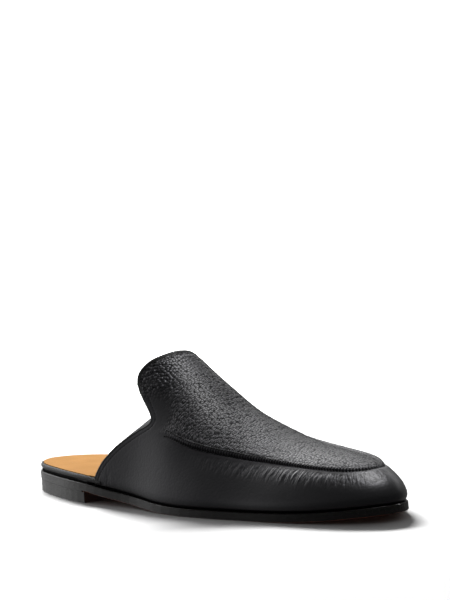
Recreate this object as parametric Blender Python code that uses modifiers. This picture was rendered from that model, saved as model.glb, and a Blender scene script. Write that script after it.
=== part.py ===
"""A right slipper loafer: a backless leather shoe on a thin leather sole and a low heel.

The shoe stands on z = 0 with its toe towards +X, its outer (lateral) side towards -Y and
its inner (medial) side towards +Y. Tables and sizes are in millimetres: "along" is measured
forward from the back of the heel, half widths from the heel's centre line, heights from the
floor. The last step moves the origin to the middle of the outline and turns all into metres.
"""
import math

import bmesh
import bpy
import numpy as np

MM = 0.001

# ---------------------------------------------------------------- driving dimensions
LENGTH = 292.0              # outsole, back of the heel to the tip of the toe
SOLE = 4.4                  # thickness of the outsole
FOOTBED = 3.7               # wrapped insole board
SOCK = 0.8                  # tan leather sheet on the footbed
WALL = 2.0                  # upper leather with its lining
GAP = 0.3                   # between pieces that meet

HEEL_BREAST = 80.0          # front of the heel block at its corners
BREAST_HOLLOW = 1.5         # how far the breast curves back at the middle
HEEL_MARGIN = 0.2           # heel block inside the outsole's edge

FEATHER = 2.3               # foot of the upper inside the outsole's edge
ROLL_OUT = 2.1              # how far the upper bulges out again just above its foot
ROLL_HEIGHT = 4.5           # height of that bulge's widest point
WALL_MARGIN = 4.1           # footbed inside the outsole's edge, where the upper stands
OPEN_MARGIN = 0.9           # the same at the open heel
OPEN_END = 85.0             # the footbed has its open margin back from here
WALL_START = 88.8           # and its wall margin from here on, just behind the upper
SOCK_MARGIN = 0.9           # sock inside the footbed's edge

OUTSOLE_ROUND = 0.5         # rounding of each piece's edges
HEEL_ROUND = 0.4
FOOTBED_ROUND = 1.0

HEEL_MIDDLE = -0.5          # sideways place of the heel's backmost point
TOE_MIDDLE = 2.6            # sideways place of the toe's tip, on the inner side

OUTLINE = [  # along, lateral half width, medial half width
    (8.0, 15.0, 18.0),
    (34.0, 28.5, 30.5),
    (62.0, 37.5, 33.0),
    (92.0, 42.0, 30.5),
    (122.0, 42.0, 30.5),
    (150.0, 46.5, 37.0),
    (180.0, 47.0, 46.5),
    (210.0, 42.0, 49.5),
    (238.0, 37.0, 45.0),
    (261.0, 30.0, 34.5),
    (277.0, 22.0, 23.0),
    (287.0, 13.0, 13.0),
]

TREAD = [  # along, height of the outsole's underside: heel seat, arch, flat forefoot, toe spring
    (0.0, 7.7),
    (62.0, 7.5),
    (80.0, 7.0),
    (92.0, 5.8),
    (122.0, 2.7),
    (150.0, 0.5),
    (172.0, 0.0),
    (212.0, 0.0),
    (240.0, 0.6),
    (262.0, 1.9),
    (280.0, 3.6),
    (292.0, 4.8),
]

CREST = [  # along, height of the last's top line, run on past the toe and behind the tongue
    (82.0, 118.5),
    (105.0, 103.0),
    (130.0, 84.0),
    (150.0, 69.0),
    (170.0, 54.5),
    (190.0, 45.5),
    (210.0, 39.0),
    (232.0, 35.0),
    (255.0, 32.5),
    (275.0, 30.5),
    (292.0, 30.0),
]

CREST_PATH = [  # along, how far the crest lies towards the inner side
    (82.0, 3.5),
    (130.0, 3.5),
    (190.0, 5.5),
    (255.0, 5.5),
]

ROUNDNESS = [  # along, exponent of the rib: under 2 is roof-like, over 2 is boxier
    (82.0, 1.8),
    (120.0, 2.1),
    (210.0, 2.1),
    (292.0, 2.7),
]

TOPLINE = [  # share of the way up the side, where the upper's edge lies along the shoe
    (0.0, 90.0),
    (0.1, 91.0),
    (0.2, 95.0),
    (0.28, 103.5),
    (0.35, 113.0),
    (0.41, 121.0),
    (0.45, 126.0),
    (0.49, 131.0),
    (0.515, 133.5),
    (0.535, 134.5),
    (0.555, 132.5),
    (0.58, 126.0),
    (0.61, 119.0),
    (0.64, 115.5),
    (0.67, 115.0),
    (0.75, 117.5),
    (0.87, 123.0),
    (0.95, 125.0),
    (1.0, 126.0),
]

FAN_START = 165.0           # behind this the ribs run straight across the shoe
FAN_POLE = 252.0            # where the ribs of the toe meet on the crest
SIDE_LINES = [  # share of the way up the side, faces below it: closest together at the notch
    (0.46, 11),
    (0.60, 6),
    (1.00, 9),
]
RIBS = 36                   # faces from the topline to the tip of the toe
RIB_LAW = 1.5               # gathers the side lines towards the foot of the upper
TOE_LAW = 1.25              # gathers the ribs towards the toe
RUNGS = 56                  # faces along each flat piece of the sole
HEEL_RUNGS = 16             # faces along the heel block
HEEL_COLUMNS = 6            # and across its breast
CURVE_POINTS = 720
WELD = 0.3                  # vertices nearer than this become one
SMOOTH_ANGLE = 40.0         # degrees, faces that meet at less are shaded as one
ROUND_ANGLE = 50.0          # degrees, edges sharper than this are rounded

BLACK_LEATHER = (0.016, 0.016, 0.018, 1.0)
BLACK_EDGE = (0.020, 0.019, 0.019, 1.0)
CHESTNUT = (0.120, 0.035, 0.020, 1.0)
TAN = (0.660, 0.350, 0.150, 1.0)


# ---------------------------------------------------------------- curves
def smooth(table, at):
    """Read a table of (place, value) rows as a curve that never overshoots its rows."""
    place, value = np.array(table, float).T
    step = np.diff(place)
    rise = np.diff(value) / step
    slope = np.concatenate([rise[:1], np.zeros(len(place) - 2), rise[-1:]])
    for i in range(1, len(place) - 1):
        before, after = rise[i - 1], rise[i]
        if before * after > 0.0:
            weight_before = 2.0 * step[i] + step[i - 1]
            weight_after = step[i] + 2.0 * step[i - 1]
            slope[i] = (weight_before + weight_after) / (weight_before / before + weight_after / after)
    at = np.clip(at, place[0], place[-1])
    row = np.clip(np.searchsorted(place, at, side="right") - 1, 0, len(place) - 2)
    return hermite(value[row], value[row + 1], slope[row], slope[row + 1], step[row],
                   (at - place[row]) / step[row])


def hermite(start, end, leave, arrive, span, share):
    """Cubic from start to end with the slopes leave and arrive over the given span."""
    back = 1.0 - share
    return (start * (1.0 + 2.0 * share) * back ** 2 + leave * span * share * back ** 2
            + end * share ** 2 * (3.0 - 2.0 * share) - arrive * span * share ** 2 * back)


def closed_curve(knots, count):
    """A closed cubic spline through the knots, as points spaced by distance between knots."""
    knots = np.array(knots)
    following = np.roll(knots, -1, axis=0)
    preceding = np.roll(knots, 1, axis=0)
    gap = np.linalg.norm(following - knots, axis=1)
    last_gap = np.roll(gap, 1)
    total = len(knots)
    system = np.zeros((total, total))
    for i in range(total):
        system[i, i - 1] = gap[i]
        system[i, i] = 2.0 * (gap[i] + last_gap[i])
        system[i, (i + 1) % total] = last_gap[i]
    pull = 3.0 * ((last_gap / gap)[:, None] * (following - knots)
                  + (gap / last_gap)[:, None] * (knots - preceding))
    slope = np.linalg.solve(system, pull)
    distance = np.concatenate([[0.0], np.cumsum(gap)])
    at = np.linspace(0.0, distance[-1], count, endpoint=False)
    row = np.searchsorted(distance, at, side="right") - 1
    share = ((at - distance[row]) / gap[row])[:, None]
    return hermite(knots[row], following[row], slope[row], slope[(row + 1) % total],
                   gap[row][:, None], share)


def sole_outline():
    """The outsole's plan: out along the lateral side, round the toe, back on the medial side."""
    lateral = [(along, -outer) for along, outer, _ in OUTLINE]
    medial = [(along, inner) for along, _, inner in reversed(OUTLINE)]
    return closed_curve([(0.0, HEEL_MIDDLE), *lateral, (LENGTH, TOE_MIDDLE), *medial], CURVE_POINTS)


def outward(curve):
    """The direction that points straight out of a closed curve, at each of its points."""
    ahead = np.roll(curve, -1, axis=0) - np.roll(curve, 1, axis=0)
    ahead /= np.linalg.norm(ahead, axis=1)[:, None]
    return np.stack([ahead[:, 1], -ahead[:, 0]], axis=1)


def inset(curve, margin):
    """Move a closed curve inwards by a margin, which may differ from point to point."""
    return curve - outward(curve) * np.reshape(margin, (-1, 1))


def two_sides(curve):
    """Split a closed curve at its ends into a lateral and a medial line, both heel to toe."""
    curve = np.roll(curve, -int(np.argmin(curve[:, 0])), axis=0)
    toe = int(np.argmax(curve[:, 0]))
    return curve[:toe + 1], np.vstack([curve[toe:], curve[:1]])[::-1]


def underside(along):
    """Height of the outsole's underside."""
    return smooth(TREAD, along)


def sole_top(along):
    """Height of the outsole's upper face."""
    return underside(along) + SOLE


# ---------------------------------------------------------------- the last's surface
def foot_lines(foot):
    """For each side: the upper's foot line from heel to toe, its outward direction, its reach."""
    sides = []
    for rows in two_sides(np.hstack([foot, outward(foot)])):
        pace = np.linalg.norm(np.diff(rows[:, :2], axis=0), axis=1)
        reach = np.concatenate([[0.0], np.cumsum(pace)])
        sides.append((rows[:, :2], rows[:, 2:], reach))
    return sides


def read_line(values, keys, at):
    """Read each column of values at the places given on keys."""
    return np.stack([np.interp(at, keys, column) for column in values.T], axis=-1)


def rib_point(side, station, climb):
    """A point of the last: station runs along the shoe and on round the toe, climb from 0 to 1.

    Up to FAN_START a station is a distance from the heel. Past it the station follows the
    foot line, 0 to 1 beyond FAN_START, and the ribs turn towards the pole of the toe.
    """
    line, normal, reach = side
    fan = np.clip(station - FAN_START, 0.0, 1.0)
    fan_reach = np.interp(FAN_START, line[:, 0], reach)
    straight_reach = np.interp(np.minimum(station, FAN_START), line[:, 0], reach)
    at = np.where(fan > 0.0, fan_reach + (reach[-1] - fan_reach) * fan, straight_reach)
    foot = read_line(line, reach, at)
    away = read_line(normal, reach, at)
    crest_along = np.where(fan > 0.0,
                           FAN_START + (FAN_POLE - FAN_START) * np.sin(0.5 * math.pi * fan),
                           foot[..., 0])
    crest = np.stack([crest_along, smooth(CREST_PATH, crest_along)], axis=-1)

    power = 2.0 / smooth(ROUNDNESS, foot[..., 0])
    angle = 0.5 * math.pi * climb ** RIB_LAW
    spread = np.abs(np.cos(angle)) ** power
    plan = crest + (foot - crest) * spread[..., None]
    floor = sole_top(plan[..., 0]) + GAP
    height = floor + (smooth(CREST, plan[..., 0]) - floor) * np.sin(angle) ** power
    above = (height - floor) / ROLL_HEIGHT
    bulge = ROLL_OUT * above * np.exp(1.0 - above)
    return np.concatenate([plan + away * bulge[..., None], height[..., None]], axis=-1)


def station_at(share, start, arc):
    """Turn a share of the way from the topline to the toe tip into a station."""
    travelled = share * (FAN_START - start + arc)
    straight = FAN_START - start
    return np.where(travelled < straight, start + travelled,
                    FAN_START + (travelled - straight) / arc)


# ---------------------------------------------------------------- meshes
def grid_mesh(name, columns, rows, place):
    """A grid laid over the shoe: columns run from its lateral to its medial side, rows from
    heel to toe. Vertices move to place(column, row) and weld where they meet, faces look up.
    """
    mesh = bpy.data.meshes.new(name)
    grid = bmesh.new()
    bmesh.ops.create_grid(grid, x_segments=columns, y_segments=rows, size=0.5)
    for vertex in grid.verts:
        column = round((vertex.co.x + 0.5) * columns)
        row = round((vertex.co.y + 0.5) * rows)
        vertex.co = place(column, row)
    bmesh.ops.remove_doubles(grid, verts=grid.verts, dist=WELD * MM)
    bmesh.ops.reverse_faces(grid, faces=grid.faces)
    grid.to_mesh(mesh)
    grid.free()
    return mesh


def in_place(points, middle):
    """Millimetres from the heel to metres from the middle of the outline."""
    return (points - np.array([middle[0], middle[1], 0.0])) * MM


def rung_stations(first, last, rungs):
    """Stations that lie close together at both round ends."""
    turn = np.linspace(0.0, math.pi, rungs + 1)
    return first + (last - first) * 0.5 * (1.0 - np.cos(turn))


def flat_sheet(name, curve, height, middle):
    """A sheet inside a closed plan curve, made of rungs across the shoe, at height(along)."""
    lateral, medial = two_sides(curve)
    stations = rung_stations(lateral[0, 0], lateral[-1, 0], RUNGS)
    edges = np.stack([np.interp(stations, line[:, 0], line[:, 1]) for line in (lateral, medial)])

    def place(column, row):
        along = stations[row]
        return in_place(np.array([along, edges[column, row], height(along)]), middle)

    return grid_mesh(name, 1, RUNGS, place)


def heel_mesh(name, curve, middle):
    """The heel block: a flat foot, an upper face that follows the outsole, a hollow breast."""
    lateral, medial = two_sides(curve)
    turn = np.linspace(0.0, 0.5 * math.pi, HEEL_RUNGS + 1)
    reach = lateral[0, 0] + (HEEL_BREAST - lateral[0, 0]) * (1.0 - np.cos(turn))

    def place(column, row):
        across = column / HEEL_COLUMNS
        bow = BREAST_HOLLOW * (reach[row] / HEEL_BREAST) ** 2 * (1.0 - (2.0 * across - 1.0) ** 2)
        outer, inner = (np.interp(reach[row], line[:, 0], line[:, 1]) for line in (lateral, medial))
        along = reach[row] - bow
        return in_place(np.array([along, outer + (inner - outer) * across,
                                  underside(along) - GAP]), middle)

    mesh = grid_mesh(name, HEEL_COLUMNS, HEEL_RUNGS, place)
    block = bmesh.new()
    block.from_mesh(mesh)
    upper_face = block.faces[:]
    made = bmesh.ops.extrude_face_region(block, geom=upper_face)
    for part in made["geom"]:
        if isinstance(part, bmesh.types.BMVert):
            part.co.z = 0.0
    bmesh.ops.recalc_face_normals(block, faces=block.faces)
    block.to_mesh(mesh)
    block.free()
    return mesh


def upper_mesh(name, outline, middle):
    """One sheet over the last, from the lateral foot over the crest to the medial foot."""
    sides = foot_lines(inset(outline, FEATHER))
    arcs = [reach[-1] - np.interp(FAN_START, line[:, 0], reach) for line, _, reach in sides]
    arc = sum(arcs) / 2.0
    climbs = [0.0]
    for share, faces in SIDE_LINES:
        climbs.extend(np.linspace(climbs[-1], share, faces + 1)[1:])
    crest_line = len(climbs) - 1
    climbs = np.array(climbs + climbs[-2::-1])
    lines = 2 * crest_line
    shares = 1.0 - (1.0 - np.arange(RIBS + 1) / RIBS) ** TOE_LAW
    starts = smooth(TOPLINE, climbs)
    points = np.zeros((lines + 1, RIBS + 1, 3))
    for line in range(lines + 1):
        side = sides[0] if line <= crest_line else sides[1]
        stations = station_at(shares, starts[line], arc)
        points[line] = rib_point(side, stations, np.full(RIBS + 1, climbs[line]))

    def place(column, row):
        return in_place(points[column, row], middle)

    return grid_mesh(name, lines, RIBS, place)


# ---------------------------------------------------------------- objects
def finish(name, colour, roughness):
    """A plain Principled material."""
    material = bpy.data.materials.new(name)
    material.use_nodes = True
    shader = material.node_tree.nodes["Principled BSDF"]
    shader.inputs["Base Color"].default_value = colour
    shader.inputs["Roughness"].default_value = roughness
    shader.inputs["Metallic"].default_value = 0.0
    return material


def add_piece(mesh, collection, material):
    """Link a mesh as an object of the same name, shaded smooth up to SMOOTH_ANGLE."""
    piece = bpy.data.objects.new(mesh.name, mesh)
    collection.objects.link(piece)
    mesh.materials.append(material)
    mesh.shade_smooth()
    mesh.set_sharp_from_angle(angle=math.radians(SMOOTH_ANGLE))
    return piece


def thicken(piece, thickness, side):
    """Give a sheet its thickness: side +1 builds out along its normals, -1 builds inwards."""
    solid = piece.modifiers.new("thickness", "SOLIDIFY")
    solid.thickness = thickness * MM
    solid.offset = side
    solid.use_even_offset = True


def round_edges(piece, radius, segments):
    """Round the sharp edges."""
    bevel = piece.modifiers.new("edges", "BEVEL")
    bevel.width = radius * MM
    bevel.segments = segments
    bevel.limit_method = "ANGLE"
    bevel.angle_limit = math.radians(ROUND_ANGLE)


def build():
    for old in list(bpy.data.objects):
        bpy.data.objects.remove(old, do_unlink=True)
    shoe = bpy.data.collections.new("slipper_loafer")
    bpy.context.scene.collection.children.link(shoe)

    outline = sole_outline()
    middle = (outline.min(axis=0) + outline.max(axis=0)) / 2.0

    outsole = add_piece(flat_sheet("outsole", outline, underside, middle), shoe,
                        finish("sole_leather", CHESTNUT, 0.45))
    thicken(outsole, SOLE, 1.0)
    round_edges(outsole, OUTSOLE_ROUND, 1)

    heel = add_piece(heel_mesh("heel", inset(outline, HEEL_MARGIN), middle), shoe,
                     finish("heel_edge", BLACK_EDGE, 0.35))
    round_edges(heel, HEEL_ROUND, 1)

    margin = smooth([(0.0, OPEN_MARGIN), (OPEN_END, OPEN_MARGIN),
                     (WALL_START, WALL_MARGIN), (LENGTH, WALL_MARGIN)], outline[:, 0])
    footbed = add_piece(flat_sheet("insole", inset(outline, margin),
                                   lambda along: sole_top(along) + GAP, middle), shoe,
                        finish("footbed_wrap", BLACK_LEATHER, 0.5))
    thicken(footbed, FOOTBED, 1.0)
    round_edges(footbed, FOOTBED_ROUND, 2)

    sock = add_piece(flat_sheet("sock_lining", inset(outline, margin + SOCK_MARGIN),
                                lambda along: sole_top(along) + FOOTBED + 2.0 * GAP, middle), shoe,
                     finish("sock_leather", TAN, 0.55))
    thicken(sock, SOCK, 1.0)

    upper = add_piece(upper_mesh("upper", outline, middle), shoe,
                      finish("grained_leather", BLACK_LEATHER, 0.5))
    thicken(upper, WALL, -1.0)


build()
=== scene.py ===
"""The looks of a right slipper loafer: grained black leather with a sewn apron, a bound top
edge, a tan sock on a wrapped footbed, and a thin leather sole with a low stacked heel.

Tables of the shoe's sizes are in millimetres: "along" is measured forward from the back of
the heel, half widths from the heel's centre line, heights from the floor. The lateral side is
the outer one, the medial side the inner one.
"""
import math
import random

import bpy
import numpy as np
from mathutils import Matrix, Quaternion, Vector
from mathutils.kdtree import KDTree


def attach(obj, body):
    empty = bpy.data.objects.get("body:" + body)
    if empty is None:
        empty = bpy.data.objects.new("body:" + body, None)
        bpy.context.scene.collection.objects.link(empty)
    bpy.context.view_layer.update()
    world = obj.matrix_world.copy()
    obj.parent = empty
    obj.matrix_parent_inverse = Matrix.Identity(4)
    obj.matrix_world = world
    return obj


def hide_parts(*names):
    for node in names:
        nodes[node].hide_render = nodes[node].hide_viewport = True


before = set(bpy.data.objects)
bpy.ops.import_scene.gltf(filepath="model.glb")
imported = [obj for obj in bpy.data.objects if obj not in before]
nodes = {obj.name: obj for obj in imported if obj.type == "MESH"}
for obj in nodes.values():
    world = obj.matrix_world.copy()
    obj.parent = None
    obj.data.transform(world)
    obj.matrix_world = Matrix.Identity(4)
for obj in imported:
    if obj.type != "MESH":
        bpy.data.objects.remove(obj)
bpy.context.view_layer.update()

# ------------------------------------------------------------------------------------ vamp
# One piece of pebbled black calf, lasted wet over the wooden last. The apron seam is pinched
# up by hand and sewn through, so the leather below it gathers into small puckers, and the
# seam dies out behind, under the notch between the tongue and the wings.
MM = 0.001
LENGTH = 292.0  # of the sole
SOLE = 4.4  # how thick the sole is
GAP = 0.3  # between the sole and the foot of the upper
FEATHER = 2.3  # how far the foot of the upper lies inside the sole's edge
ROLL_OUT = 2.1  # how far the upper bulges out over its foot
ROLL_HEIGHT = 4.5  # how high up that bulge is at its fullest
HEEL_MIDDLE = -0.5  # where the sole's back end lies across the shoe
TOE_MIDDLE = 2.6  # and its front end
FAN_START = 165.0  # from here on the ribs of the last turn round the toe
FAN_POLE = 252.0  # and they meet at this place on the crest
RIB_LAW = 1.5  # draws the ribs' points together near the sole

OUTLINE = [  # along, lateral half width, medial half width of the sole
    (8.0, 15.0, 18.0), (34.0, 28.5, 30.5), (62.0, 37.5, 33.0), (92.0, 42.0, 30.5),
    (122.0, 42.0, 30.5), (150.0, 46.5, 37.0), (180.0, 47.0, 46.5), (210.0, 42.0, 49.5),
    (238.0, 37.0, 45.0), (261.0, 30.0, 34.5), (277.0, 22.0, 23.0), (287.0, 13.0, 13.0),
]
TREAD = [  # along, height of the outsole's underside
    (0.0, 7.7), (62.0, 7.5), (80.0, 7.0), (92.0, 5.8), (122.0, 2.7), (150.0, 0.5),
    (172.0, 0.0), (212.0, 0.0), (240.0, 0.6), (262.0, 1.9), (280.0, 3.6), (292.0, 4.8),
]
CREST = [  # along, height of the last's top line
    (82.0, 118.5), (105.0, 103.0), (130.0, 84.0), (150.0, 69.0), (170.0, 54.5), (190.0, 45.5),
    (210.0, 39.0), (232.0, 35.0), (255.0, 32.5), (275.0, 30.5), (292.0, 30.0),
]
CREST_PATH = [  # along, how far the crest lies towards the inner side
    (82.0, 3.5), (130.0, 3.5), (190.0, 5.5), (255.0, 5.5),
]
ROUNDNESS = [  # along, exponent of the rib
    (82.0, 1.8), (120.0, 2.1), (210.0, 2.1), (292.0, 2.7),
]
TOPLINE = [  # share of the way up the side, where the upper's edge lies along the shoe
    (0.0, 90.0), (0.1, 91.0), (0.2, 95.0), (0.28, 103.5), (0.35, 113.0),
    (0.41, 121.0), (0.45, 126.0), (0.49, 131.0), (0.515, 133.5), (0.535, 134.5),
    (0.555, 132.5), (0.58, 126.0), (0.61, 119.0), (0.64, 115.5), (0.67, 115.0),
    (0.75, 117.5), (0.87, 123.0), (0.95, 125.0), (1.0, 126.0),
]
INNER_TOPLINE = TOPLINE[:15] + [  # the same on the inner side, where the tongue's corner rounds off
    (0.75, 119.5), (0.8, 123.2), (0.85, 126.2), (0.9, 126.9), (0.95, 126.5), (1.0, 126.0),
]

APRON_SEAM = [  # along, lateral half width, medial half width of the sewn line in plan
    (141.0, 36.8, 27.3), (150.0, 36.0, 29.3), (161.0, 35.3, 31.5), (175.0, 33.3, 33.9),
    (185.0, 31.2, 34.8), (196.0, 28.3, 34.6), (217.0, 23.1, 31.4), (239.0, 19.9, 27.2),
    (250.0, 18.1, 24.1), (260.0, 15.4, 20.0), (267.0, 12.2, 15.7), (272.0, 8.0, 11.2),
    (275.2, 3.2, 7.0),
]
SEAM_TIP = (276.2, 2.2)


def smooth(table, at):
    """Read a table of (place, value) rows as a curve that never overshoots its rows."""
    place, value = np.array(table, float).T
    step = np.diff(place)
    pitch = np.diff(value) / step
    slope = np.concatenate([pitch[:1], np.zeros(len(place) - 2), pitch[-1:]])
    for i in range(1, len(place) - 1):
        before, after = pitch[i - 1], pitch[i]
        if before * after > 0.0:
            weight_before = 2.0 * step[i] + step[i - 1]
            weight_after = step[i] + 2.0 * step[i - 1]
            slope[i] = (weight_before + weight_after) / (weight_before / before + weight_after / after)
    at = np.clip(at, place[0], place[-1])
    row = np.clip(np.searchsorted(place, at, side="right") - 1, 0, len(place) - 2)
    return hermite(value[row], value[row + 1], slope[row], slope[row + 1], step[row],
                   (at - place[row]) / step[row])


def hermite(start, end, leave, arrive, span, share):
    """Cubic from start to end with the slopes leave and arrive over the given span."""
    back = 1.0 - share
    return (start * (1.0 + 2.0 * share) * back ** 2 + leave * span * share * back ** 2
            + end * share ** 2 * (3.0 - 2.0 * share) - arrive * span * share ** 2 * back)


def closed_curve(knots, count):
    """A closed cubic spline through the knots, as points spaced by distance between knots."""
    knots = np.array(knots)
    following = np.roll(knots, -1, axis=0)
    preceding = np.roll(knots, 1, axis=0)
    gap = np.linalg.norm(following - knots, axis=1)
    last_gap = np.roll(gap, 1)
    total = len(knots)
    system = np.zeros((total, total))
    for i in range(total):
        system[i, i - 1] = gap[i]
        system[i, i] = 2.0 * (gap[i] + last_gap[i])
        system[i, (i + 1) % total] = last_gap[i]
    pull = 3.0 * ((last_gap / gap)[:, None] * (following - knots)
                  + (gap / last_gap)[:, None] * (knots - preceding))
    slope = np.linalg.solve(system, pull)
    distance = np.concatenate([[0.0], np.cumsum(gap)])
    at = np.linspace(0.0, distance[-1], count, endpoint=False)
    row = np.searchsorted(distance, at, side="right") - 1
    share = ((at - distance[row]) / gap[row])[:, None]
    return hermite(knots[row], following[row], slope[row], slope[(row + 1) % total],
                   gap[row][:, None], share)


def outward(curve):
    """The direction that points straight out of a closed curve, at each of its points."""
    ahead = np.roll(curve, -1, axis=0) - np.roll(curve, 1, axis=0)
    ahead /= np.linalg.norm(ahead, axis=1)[:, None]
    return np.stack([ahead[:, 1], -ahead[:, 0]], axis=1)


def two_sides(curve):
    """Split a closed curve at its ends into a lateral and a medial line, both heel to toe."""
    curve = np.roll(curve, -int(np.argmin(curve[:, 0])), axis=0)
    toe = int(np.argmax(curve[:, 0]))
    return curve[:toe + 1], np.vstack([curve[toe:], curve[:1]])[::-1]


def along_line(points):
    """The distance of each point of a line from its start."""
    return np.concatenate([[0.0], np.cumsum(np.linalg.norm(np.diff(points, axis=0), axis=1))])


OUTLINE_POINTS = 720
lateral_knots = [(along, -outer) for along, outer, _ in OUTLINE]
medial_knots = [(along, inner) for along, _, inner in reversed(OUTLINE)]
outline = closed_curve([(0.0, HEEL_MIDDLE), *lateral_knots, (LENGTH, TOE_MIDDLE), *medial_knots],
                       OUTLINE_POINTS)
middle = (outline.min(axis=0) + outline.max(axis=0)) / 2.0
foot_line = outline - outward(outline) * FEATHER
last_sides = []
for rows in two_sides(np.hstack([foot_line, outward(foot_line)])):
    last_sides.append((rows[:, :2], rows[:, 2:], along_line(rows[:, :2])))


def read_line(values, keys, at):
    """Read each column of values at the places given on keys."""
    return np.stack([np.interp(at, keys, column) for column in values.T], axis=-1)


def rib_point(side, station, climb):
    """A point of the last: station runs along the shoe and on round the toe, climb from 0 at
    the sole to 1 on the crest. Past FAN_START the ribs turn towards the pole of the toe."""
    line, normal, reach = side
    fan = np.clip(station - FAN_START, 0.0, 1.0)
    fan_reach = np.interp(FAN_START, line[:, 0], reach)
    straight_reach = np.interp(np.minimum(station, FAN_START), line[:, 0], reach)
    at = np.where(fan > 0.0, fan_reach + (reach[-1] - fan_reach) * fan, straight_reach)
    foot = read_line(line, reach, at)
    away = read_line(normal, reach, at)
    crest_along = np.where(fan > 0.0,
                           FAN_START + (FAN_POLE - FAN_START) * np.sin(0.5 * math.pi * fan),
                           foot[..., 0])
    crest = np.stack([crest_along, smooth(CREST_PATH, crest_along)], axis=-1)
    power = 2.0 / smooth(ROUNDNESS, foot[..., 0])
    angle = 0.5 * math.pi * climb ** RIB_LAW
    spread = np.abs(np.cos(angle)) ** power
    plan = crest + (foot - crest) * spread[..., None]
    floor = smooth(TREAD, plan[..., 0]) + SOLE + GAP
    height = floor + (smooth(CREST, plan[..., 0]) - floor) * np.sin(angle) ** power
    above = (height - floor) / ROLL_HEIGHT
    bulge = ROLL_OUT * above * np.exp(1.0 - above)
    return np.concatenate([plan + away * bulge[..., None], height[..., None]], axis=-1)


def in_place(points):
    """Millimetres from the heel to metres from the middle of the outline."""
    return (points - np.array([middle[0], middle[1], 0.0])) * MM


# The sewn line in plan, as one run from the lateral back end round the toe to the medial one.
seam_knots = np.array([(along, -outer) for along, outer, _ in APRON_SEAM] + [SEAM_TIP]
                      + [(along, inner) for along, _, inner in reversed(APRON_SEAM)])
knot_reach = along_line(seam_knots)
fine_reach = np.linspace(0.0, knot_reach[-1], 600)
seam_plan = np.stack([smooth(np.stack([knot_reach, seam_knots[:, axis]], axis=1), fine_reach)
                      for axis in (0, 1)], axis=1)


def inside_seam(points):
    """How far plan points lie inside the sewn line; negative outside it."""
    starts = seam_plan[:-1]
    runs = seam_plan[1:] - starts
    to_point = points[:, None, :] - starts[None]
    share = np.clip((to_point * runs).sum(-1) / (runs ** 2).sum(-1), 0.0, 1.0)
    apart = to_point - runs * share[..., None]
    distance = np.linalg.norm(apart, axis=-1)
    nearest = distance.argmin(axis=1)
    rows = np.arange(len(points))
    turn = (runs[nearest, 0] * apart[rows, nearest, 1] - runs[nearest, 1] * apart[rows, nearest, 0])
    return np.sign(turn) * distance[rows, nearest]


# For each side, tables of ribs: how far each climb is from the foot, and where the seam is.
FIRST_RIB = 86.0
SEAM_BACK = 145.0
STATIONS = np.concatenate([np.linspace(FIRST_RIB, FAN_START, 160),
                           FAN_START + np.linspace(0.004, 1.0, 200)])
CLIMBS = np.linspace(0.0, 1.0, 321)
rib_reach = []
seam_climb = []
for side in last_sides:
    reaches = []
    crossings = []
    for station in STATIONS:
        rib = rib_point(side, np.full(len(CLIMBS), station), CLIMBS)
        reaches.append(along_line(rib))
        if station < SEAM_BACK:
            crossings.append(np.nan)
            continue
        inside = inside_seam(rib[:, :2])
        first = int(np.argmax(inside > 0.0))
        share = inside[first - 1] / (inside[first - 1] - inside[first])
        crossings.append(CLIMBS[first - 1] + share * (CLIMBS[first] - CLIMBS[first - 1]))
    crossings = np.array(crossings)
    known = ~np.isnan(crossings)
    crossings[~known] = crossings[known][0]
    rib_reach.append(np.array(reaches))
    seam_climb.append(crossings)


# Columns of the sheet on one side: set distances from the seam inside a band along it, and an
# even share of what is left below the band, down to the sole, and above it, up to the crest.
BELOW_BAND = [0.3, 0.6, 0.9, 1.25, 1.7, 2.3, 3.0, 3.9, 5.0, 6.2, 7.5, 9.0, 10.7, 12.5]
ABOVE_BAND = [0.35, 0.7, 1.05, 1.4, 1.75, 2.1, 2.45, 2.8, 3.1, 3.4, 3.7, 4.0, 4.4, 4.9, 5.5, 6.3, 7.3,
              8.6, 10.2, 12.0]
WALL_COLUMNS = 16
APRON_COLUMNS = 14
ROWS = 760
SEAM_COLUMN = WALL_COLUMNS + len(BELOW_BAND)
SIDE_COLUMNS = SEAM_COLUMN + 1 + len(ABOVE_BAND) + APRON_COLUMNS
FAN_ARC = float(np.mean([reach[-1] - np.interp(FAN_START, line[:, 0], reach)
                         for line, _, reach in last_sides]))


def column_climbs():
    """For each side, the climb of every column at every station, from the foot to the crest."""
    sides = []
    for reaches, seam in zip(rib_reach, seam_climb):
        table = []
        for reach, climb in zip(reaches, seam):
            at_seam = np.interp(climb, CLIMBS, reach)
            wall = (at_seam - BELOW_BAND[-1]) * np.linspace(0.0, 1.0, WALL_COLUMNS + 1)[:-1]
            band = at_seam + np.array([-d for d in reversed(BELOW_BAND)] + [0.0] + ABOVE_BAND)
            apron = np.linspace(band[-1], reach[-1], APRON_COLUMNS + 1)[1:]
            table.append(np.interp(np.concatenate([wall, band, apron]), reach, CLIMBS))
        sides.append(np.array(table).T)
    return sides


def column_path(side, topline, climbs, rows):
    """One column of the sheet: from the topline, forward along its climbs, to the toe's tip."""
    behind = STATIONS - smooth(topline, climbs)
    first = int(np.argmax(behind >= 0.0))
    share = behind[first - 1] / (behind[first - 1] - behind[first])
    start = STATIONS[first - 1] + share * (STATIONS[first] - STATIONS[first - 1])
    straight = FAN_START - start
    travelled = np.linspace(0.0, straight + FAN_ARC, rows + 1)
    stations = np.where(travelled < straight, start + travelled,
                        FAN_START + (travelled - straight) / FAN_ARC)
    return rib_point(side, stations, np.interp(stations, STATIONS, climbs))


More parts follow.
